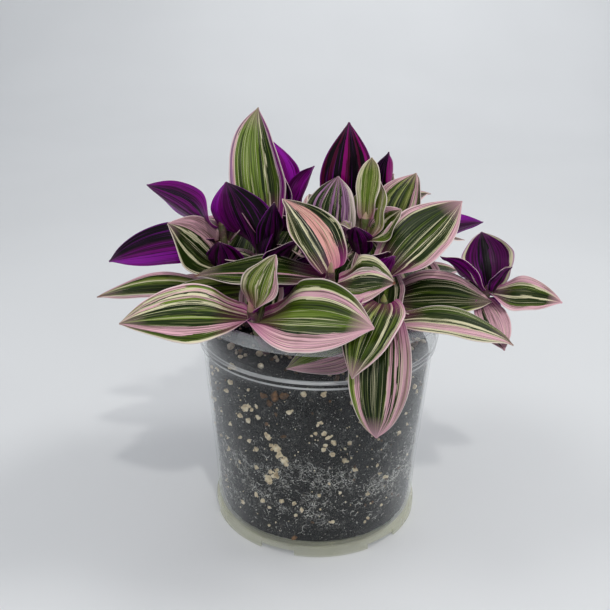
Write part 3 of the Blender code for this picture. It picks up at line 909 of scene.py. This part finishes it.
def ring_of_boxes(name, first_angle, inner, outer, half, low, high):
    corners = [(x, y, z) for x in (inner, outer) for y in (-half, half) for z in (low, high)]
    box = [(0, 1, 3, 2), (4, 6, 7, 5), (0, 4, 5, 1), (2, 3, 7, 6), (0, 2, 6, 4), (1, 5, 7, 3)]
    points = []
    faces = []
    for number in range(FEET):
        turn = Matrix.Rotation(radians(first_angle + 360 / FEET * number), 3, "Z")
        faces += [[len(points) + i for i in face] for face in box]
        points += [turn @ Vector(corner) * MM for corner in corners]
    mesh = bpy.data.meshes.new(name)
    mesh.from_pydata(points, [], faces)
    face_outwards(mesh)
    cutter = bpy.data.objects.new(name, mesh)
    bpy.context.collection.objects.link(cutter)
    return cutter


def clear_material(name, colour, haze, edge_haze, rough):
    """Clear moulded plastic: it lets light through, with a haze that grows at a slant."""
    nodes = Nodes(name)
    place = nodes.place()
    cloud = nodes.noise(place, 45, 4, 0.6)
    fine = nodes.noise(place, 700, 2)
    slant = nodes.add("ShaderNodeLayerWeight", {"Blend": 0.35}).outputs["Facing"]
    slant = nodes.math("POWER", slant, 2.2)
    patchy = nodes.map_range(cloud, 0.3, 0.7, haze * 0.7, haze * 1.3)
    milk = nodes.math("MULTIPLY_ADD", slant, edge_haze, patchy, clamp=True)
    through = nodes.add("ShaderNodeBsdfTransparent", {"Color": (0.985, 0.99, 0.99)}).outputs[0]
    body = nodes.surface(colour, rough, nodes.bump(fine, 0.05, 0.0002))
    ripple = nodes.bump(cloud, 0.12, 0.0006)
    gloss = nodes.add(
        "ShaderNodeBsdfGlossy", {"Color": (1, 1, 1), "Roughness": 0.06, "Normal": ripple}
    ).outputs[0]
    facing = nodes.add("ShaderNodeLayerWeight", {"Blend": 0.5}).outputs["Facing"]
    shine = nodes.math("MULTIPLY_ADD", nodes.math("POWER", facing, 4), 0.45, 0.004)
    see = nodes.add("ShaderNodeMixShader", {0: shine, 1: through, 2: gloss}).outputs[0]
    made = nodes.add("ShaderNodeMixShader", {0: milk, 1: see, 2: body}).outputs[0]
    return nodes.finish(made)


def make_pot():
    materials = [
        clear_material(name, shade(*colour), *rest) for name, (colour, *rest) in POT_LOOKS.items()
    ]
    points, faces = turned(pot_profile(), POT_SEGMENTS)
    mesh = bpy.data.meshes.new("pot_rough")
    mesh.from_pydata([Vector(p) * MM for p in points], [], faces)
    face_outwards(mesh)
    rough = bpy.data.objects.new("pot_rough", mesh)
    bpy.context.collection.objects.link(rough)
    arch = (FOOT_RADIUS - CUTTER_REACH, FOOT_RADIUS + CUTTER_REACH)
    arch += (ARCH_WIDTH / 2, -CUTTER_MARGIN, ARCH_HEIGHT)
    slot = (SLOT_INNER_RADIUS, SLOT_OUTER_RADIUS, SLOT_WIDTH / 2)
    slot += (FLOOR_BOTTOM - CUTTER_MARGIN, FLOOR_TOP + CUTTER_MARGIN)
    cutters = [
        ring_of_boxes("arch_cutter", FIRST_ARCH, *arch),
        ring_of_boxes("slot_cutter", FIRST_ARCH + 180 / FEET, *slot),
    ]
    for cutter in cutters:
        boolean = rough.modifiers.new(cutter.name, "BOOLEAN")
        boolean.operation = "DIFFERENCE"
        boolean.solver = "EXACT"
        boolean.object = cutter
    graph = bpy.context.evaluated_depsgraph_get()
    whole = bpy.data.meshes.new_from_object(rough.evaluated_get(graph))
    whole.name = "pot_shell"
    for helper in [rough] + cutters:
        bpy.data.objects.remove(helper)
    whole.materials.clear()
    for material in materials:
        whole.materials.append(material)
    for face in whole.polygons:
        height = face.center.z / MM
        reach = Vector((face.center.x, face.center.y)).length / MM
        if height > POT_HEIGHT - RIM_BAND - 0.2:
            face.material_index = 1
        elif abs(height - STEP_TOP) < 0.7 or abs(height - STEP_BOTTOM - 0.3) < 0.7:
            face.material_index = 2
        elif height < WALL[-1][0] + 0.3 and reach > FOOT_RADIUS - 4:
            face.material_index = 3
        else:
            face.material_index = 0
    whole.shade_smooth()
    whole.set_sharp_from_angle(angle=radians(32))
    pot = bpy.data.objects.new("pot_shell", whole)
    bpy.context.collection.objects.link(pot)
    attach(pot, "root")
    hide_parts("pot")
    return pot


# ----------------------------------------------------------------------- soil


def wall_radius(height):
    """Outer radius of the pot's wall below the step."""
    for (high, wide), (low, narrow) in zip(WALL, WALL[1:]):
        if height >= low:
            share = min(1, (height - low) / (high - low))
            return narrow + (wide - narrow) * share
    return WALL[-1][1]


def grain(point, size):
    """Rough ground: a value from about -1 to 1."""
    return noise.fractal(Vector(point) / size, 0.7, 2.1, 4, noise_basis="PERLIN_ORIGINAL")


def soil_material():
    """Black mix with fine pale dust and, low down, a web of thin pale threads."""
    nodes = Nodes("potting_mix")
    place = nodes.place()
    lumps = nodes.noise(place, 260, 5, 0.65)
    dust = nodes.noise(place, 1700, 2, 0.6)
    damp = nodes.noise(place, 40, 3)
    patch = nodes.noise(place, 75, 3, 0.6)
    colour = nodes.ramp(
        lumps,
        [
            (0.3, shade(3, 3, 4)),
            (0.5, shade(9, 10, 12)),
            (0.62, shade(36, 36, 38)),
            (0.75, shade(96, 90, 82)),
        ],
    )
    colour = nodes.mix(nodes.map_range(damp, 0.35, 0.65, 0.0, 0.5), colour, shade(10, 10, 13))
    height = nodes.add("ShaderNodeSeparateXYZ", {"Vector": place}).outputs["Z"]
    low = nodes.map_range(height, 0.03, 0.062, 1, 0)
    off_floor = nodes.map_range(height, 0.012, 0.024)
    level = nodes.times(low, off_floor)
    level = nodes.times(level, nodes.map_range(patch, 0.4, 0.6))
    level = nodes.math("MULTIPLY_ADD", level, -0.1, 0.66)
    level = nodes.math("SUBTRACT", dust, level)
    colour = nodes.mix(nodes.map_range(level, 0, 0.05, 0, 0.85), colour, shade(222, 219, 208))
    curl = nodes.math("ABSOLUTE", nodes.math("SUBTRACT", nodes.noise(place, 380, 3, 0.55), 0.5))
    thread = nodes.map_range(curl, 0.01, 0.024, 1, 0)
    bare = nodes.map_range(patch, 0.47, 0.6)
    web = nodes.times(thread, nodes.math("MULTIPLY_ADD", low, 0.85, 0.12))
    web = nodes.times(web, nodes.times(bare, off_floor))
    colour = nodes.mix(web, colour, shade(232, 231, 226))
    roughness = nodes.map_range(damp, 0.3, 0.7, 0.6, 0.9)
    return nodes.finish(nodes.surface(colour, roughness, nodes.bump(lumps, 0.8, 0.0012)))


def make_soil():
    gap = WALL_THICKNESS + SOIL_GAP
    low = FLOOR_TOP + SOIL_GAP
    rings = []
    for i in range(8):
        rings.append(("floor", i / 8))
    for i in range(SOIL_UP + 1):
        rings.append(("side", i / SOIL_UP))
    for i in range(1, SOIL_IN):
        rings.append(("top", 1 - i / SOIL_IN))
    points = []
    for kind, share in rings:
        for step in range(SOIL_AROUND):
            angle = 2 * pi * step / SOIL_AROUND
            out = outward(angle)
            if kind == "floor":
                radius = (wall_radius(low) - gap - 1) * max(share, 0.02)
                points.append(out * radius + Vector((0, 0, low)))
            elif kind == "side":
                edge = wall_radius(WALL[0][0]) - gap
                high = soil_height(edge * out.x, edge * out.y)
                height = low + (high - low) * share
                radius = wall_radius(height) - gap - (1 if share == 0 else 0)
                point = out * radius + Vector((0, 0, height))
                dent = 0.55 + 0.55 * grain(point, 3.2) + 0.25 * grain(point, 1.1)
                points.append(point - out * max(0, dent))
            else:
                radius = (wall_radius(WALL[0][0]) - gap) * share
                x, y = radius * out.x, radius * out.y
                rise = 1.1 * grain((x, y, 0), 4.5) + 0.5 * grain((x, y, 9), 1.4)
                rise *= min(1, (1 - share) * 12)
                points.append(Vector((x, y, soil_height(x, y) - 0.4 + rise)))
    faces = []
    for ring in range(len(rings) - 1):
        for step in range(SOIL_AROUND):
            beside = (step + 1) % SOIL_AROUND
            a, b = ring * SOIL_AROUND, (ring + 1) * SOIL_AROUND
            faces.append((a + step, a + beside, b + beside, b + step))
    faces.append(tuple(reversed(range(SOIL_AROUND))))
    faces.append(tuple(range(len(points) - SOIL_AROUND, len(points))))
    return new_piece("soil_body", points, faces, [soil_material()], ["soil"], 80)


LUMP = {}


def lump_shape(level):
    """Points and faces of a ball, kept for reuse."""
    if level not in LUMP:
        ball = bmesh.new()
        bmesh.ops.create_icosphere(ball, subdivisions=level, radius=1)
        corners = [v.co.copy() for v in ball.verts]
        LUMP[level] = (corners, [[v.index for v in f.verts] for f in ball.faces])
        ball.free()
    return LUMP[level]


def add_lump(points, faces, centre, size, level, chance, flat=0.75):
    own, sides = lump_shape(level)
    angle = chance.uniform(0, 2 * pi)
    axis = Vector([chance.gauss(0, 1) for _ in range(3)])
    turn = Matrix.Rotation(angle, 3, axis)
    stretch = Vector((1, chance.uniform(flat, 1), chance.uniform(flat * 0.8, 0.95)))
    salt = chance.uniform(0, 50)
    first = len(points)
    for p in own:
        bulge = 1 + 0.42 * noise.noise(p * 1.5 + Vector((salt, 0, 0)))
        shaped = Vector((p.x * stretch.x, p.y * stretch.y, p.z * stretch.z))
        points.append(centre + turn @ shaped * size * bulge)
    faces += [[first + i for i in side] for side in sides]


def crumb_material(name, scale, detail, rough, stops, bump):
    """A matt mineral or bark, in tones from three colour stops."""
    nodes = Nodes(name)
    tone = nodes.noise(nodes.place(), scale, *detail)
    return nodes.finish(nodes.surface(nodes.ramp(tone, stops), rough, nodes.bump(tone, *bump)))


def perlite_material():
    stops = [(0.3, shade(170, 150, 118)), (0.5, shade(226, 210, 178)), (0.7, shade(246, 237, 214))]
    return crumb_material("perlite", 500, (4,), 0.85, stops, (0.7, 0.0005))


def bark_material():
    stops = [(0.3, shade(46, 36, 28)), (0.55, shade(112, 86, 64)), (0.75, shade(164, 122, 84))]
    return crumb_material("bark", 350, (4, 0.65), 0.85, stops, (0.7, 0.0006))


def fibre_material():
    nodes = Nodes("pale_fibre")
    tone = nodes.map_range(nodes.noise(nodes.place(), 300, 2), 0.35, 0.65)
    colour = nodes.mix(tone, shade(150, 150, 148), shade(222, 220, 212))
    shader = nodes.add("ShaderNodeBsdfPrincipled", {"Base Color": colour, "Roughness": 0.8})
    return nodes.finish(shader.outputs[0])


def mix_piece(name, points, faces, material):
    return new_piece(name, points, faces, [material], [], 180)


def make_perlite():
    """Pale grains in the mix: large ones listed, the rest scattered."""
    chance = random.Random(SEED)
    points = []
    faces = []
    for angle, height, size in BIG_GRAINS:
        out = outward(radians(angle - 90))
        add_lump(points, faces, side_point(out, height, size * 0.62), size, 3, chance)
        for _ in range(4 if size > 1.7 else 1):
            beside = radians(angle - 90 + chance.uniform(-1, 1) * size * 1.3)
            out = outward(beside)
            above = height + chance.uniform(-1, 1) * size
            own = size * chance.uniform(0.35, 0.7)
            add_lump(points, faces, side_point(out, above, own * 0.6), own, 2, chance)
    for _ in range(GRAINS_AT_SIDE):
        angle = radians(chance.uniform(0, 360))
        height = 10 + 78 * chance.random() ** 0.85
        out = outward(angle)
        if grain((out.x * 30, out.y * 30, height * 0.7), 16) < BARE_PATCH:
            continue
        size = 0.3 + 1.2 * chance.random() ** 3
        add_lump(points, faces, side_point(out, height, size * 0.55), size, 2, chance)
    for _ in range(GRAINS_ON_TOP):
        angle, reach = chance.uniform(0, 2 * pi), 51 * chance.random() ** 0.5
        x, y = reach * cos(angle), reach * sin(angle)
        size = 0.6 + 1.5 * chance.random() ** 2
        add_lump(points, faces, Vector((x, y, soil_height(x, y) + 0.2)), size, 2, chance)
    return mix_piece("perlite_grains", points, faces, perlite_material())


def side_point(out, height, depth):
    """A point just inside the clear wall, in the soil's side."""
    radius = wall_radius(height) - WALL_THICKNESS - SOIL_GAP - depth
    return out * radius + Vector((0, 0, height))


def make_flecks():
    """Fine pale flecks and short fibres pressed against the wall."""
    chance = random.Random(SEED + 1)
    points = []
    faces = []
    for _ in range(FLECKS):
        angle = radians(chance.uniform(0, 360))
        height = 9 + 79 * chance.random()
        out = outward(angle)
        thick = grain((out.x * 25, out.y * 25, height), 12)
        band = exp(-(((height - WEB_HEIGHT) / WEB_SPREAD) ** 2))
        if chance.random() > 0.35 + 0.5 * band + 0.4 * thick:
            continue
        size = 0.12 + 0.26 * chance.random() ** 1.5
        add_lump(points, faces, side_point(out, height, 0.25), size, 1, chance, 0.4)
    for _ in range(FIBRES):
        angle = chance.uniform(0, 360)
        height = chance.gauss(WEB_HEIGHT, WEB_SPREAD)
        if not FLECKS_FROM < height < FLECKS_TO:
            continue
        turn = chance.uniform(0, 2 * pi)
        length = chance.uniform(1.2, 4.5)
        path = []
        for i in range(6):
            turn += chance.gauss(0, 0.5)
            angle += length / 5 * cos(turn) / WEB_RADIUS * DEGREES
            height += length / 5 * sin(turn)
            out = outward(radians(angle))
            path.append(side_point(out, max(8, min(87, height)), 0.12))
        more, sides = ring_tube(path, [0.07, 0.11, 0.12, 0.12, 0.1, 0.05], 5)
        first = len(points)
        points += more
        faces += [[first + i for i in side] for side in sides]
    return mix_piece("soil_flecks", points, faces, fibre_material())


def make_chips():
    """Brown bits of bark and peat."""
    chance = random.Random(SEED + 2)
    points = []
    faces = []
    for angle, height, size in BARK_CHIPS:
        out = outward(radians(angle - 90))
        add_lump(points, faces, side_point(out, height, size * 0.5), size, 3, chance, 0.5)
    for _ in range(CHIPS_AT_SIDE):
        angle = radians(chance.uniform(0, 360))
        height = 10 + 76 * chance.random()
        out = outward(angle)
        size = chance.uniform(0.5, 1.5)
        add_lump(points, faces, side_point(out, height, size * 0.6), size, 2, chance, 0.4)
    for _ in range(CHIPS_ON_TOP):
        angle, reach = chance.uniform(0, 2 * pi), 50 * chance.random() ** 0.5
        x, y = reach * cos(angle), reach * sin(angle)
        size = chance.uniform(0.8, 2.4)
        add_lump(points, faces, Vector((x, y, soil_height(x, y) + 0.3)), size, 2, chance, 0.4)
    return mix_piece("bark_chips", points, faces, bark_material())


# ---------------------------------------------------------------------- stage


def make_stage():
    """A pale floor that sweeps up into a backdrop."""
    bend = STAGE_BEND
    profile = [(STAGE_NEAR, 0.0), (bend, 0.0)]
    for degrees in range(6, 91, 6):
        angle = radians(degrees)
        profile.append((bend + bend * sin(angle), bend - bend * cos(angle)))
    profile.append((2 * bend, STAGE_HEIGHT))
    points = [(x, y, z) for x in (-STAGE_HALF, STAGE_HALF) for y, z in profile]
    count = len(profile)
    faces = [(i, i + count, i + count + 1, i + 1) for i in range(count - 1)]
    mesh = bpy.data.meshes.new("backdrop")
    mesh.from_pydata(points, [], faces)
    mesh.shade_smooth()
    nodes = Nodes("backdrop_paper")
    tone = nodes.noise(nodes.place(), 3, 2)
    blend = nodes.map_range(tone, 0.3, 0.7)
    colour = nodes.mix(blend, shade(224, 226, 228), shade(230, 232, 234))
    shader = nodes.add("ShaderNodeBsdfPrincipled", {"Base Color": colour, "Roughness": 0.6})
    mesh.materials.append(nodes.finish(shader.outputs[0]))
    stage = bpy.data.objects.new("backdrop", mesh)
    bpy.context.collection.objects.link(stage)


def add_light(name, place, target, size, power, colour):
    data = bpy.data.lights.new(name, "AREA")
    data.shape = "DISK"
    data.size = size
    data.energy = power
    data.color = colour
    light = bpy.data.objects.new(name, data)
    light.location = place
    light.rotation_euler = (Vector(target) - Vector(place)).to_track_quat("-Z", "Y").to_euler()
    bpy.context.collection.objects.link(light)


def make_lights():
    world = bpy.data.worlds.new("soft_room")
    world.use_nodes = True
    background = world.node_tree.nodes["Background"]
    background.inputs["Color"].default_value = WORLD_COLOUR
    background.inputs["Strength"].default_value = WORLD_STRENGTH
    bpy.context.scene.world = world
    for light in LIGHTS:
        add_light(*light)


def make_camera():
    data = bpy.data.cameras.new("camera")
    data.lens = CAMERA_LENS
    data.sensor_width = 36
    data.clip_start = 0.01
    camera = bpy.data.objects.new("camera", data)
    turn = Matrix.Rotation(radians(CAMERA_TURN), 4, "Z")
    tilt = Matrix.Rotation(radians(CAMERA_TILT), 4, "X")
    roll = Matrix.Rotation(radians(CAMERA_ROLL), 4, "Z")
    camera.matrix_world = Matrix.Translation(Vector(CAMERA_PLACE) * MM) @ turn @ tilt @ roll
    bpy.context.collection.objects.link(camera)
    bpy.context.scene.camera = camera


def as_shown(name, leaf):
    """A leaf's row with its shown length, width and roll in place of its solid's."""
    length, width, roll = SHOWN.get(name, (leaf[4], leaf[5], leaf[8]))
    return (*leaf[:4], length, width, *leaf[6:8], roll, *leaf[9:])


def main():
    bpy.context.scene.view_settings.view_transform = "Standard"
    make_camera()
    make_stage()
    make_lights()
    make_pot()
    make_soil()
    make_perlite()
    make_flecks()
    make_chips()
    skin = stem_material()
    young = bud_material()
    for number, name in enumerate(SHOOTS):
        make_stem(name, skin)
        make_bud(name, number, young)
    for number, (name, leaf) in enumerate(LEAVES.items()):
        pink = TIP_PINK.get(name, TIP_PINK_ANY)
        make_leaf(name, as_shown(name, leaf), number * 1.37 + 0.5, [name], pink)
    for number, (name, row) in enumerate(EXTRA.items()):
        leaf = (*row[:7], 0, 0, row[7], EXTRA_WIDEST)
        make_leaf(name, as_shown(name, leaf), number * 1.61 + 70.2, [], TIP_PINK_EXTRA)


main()
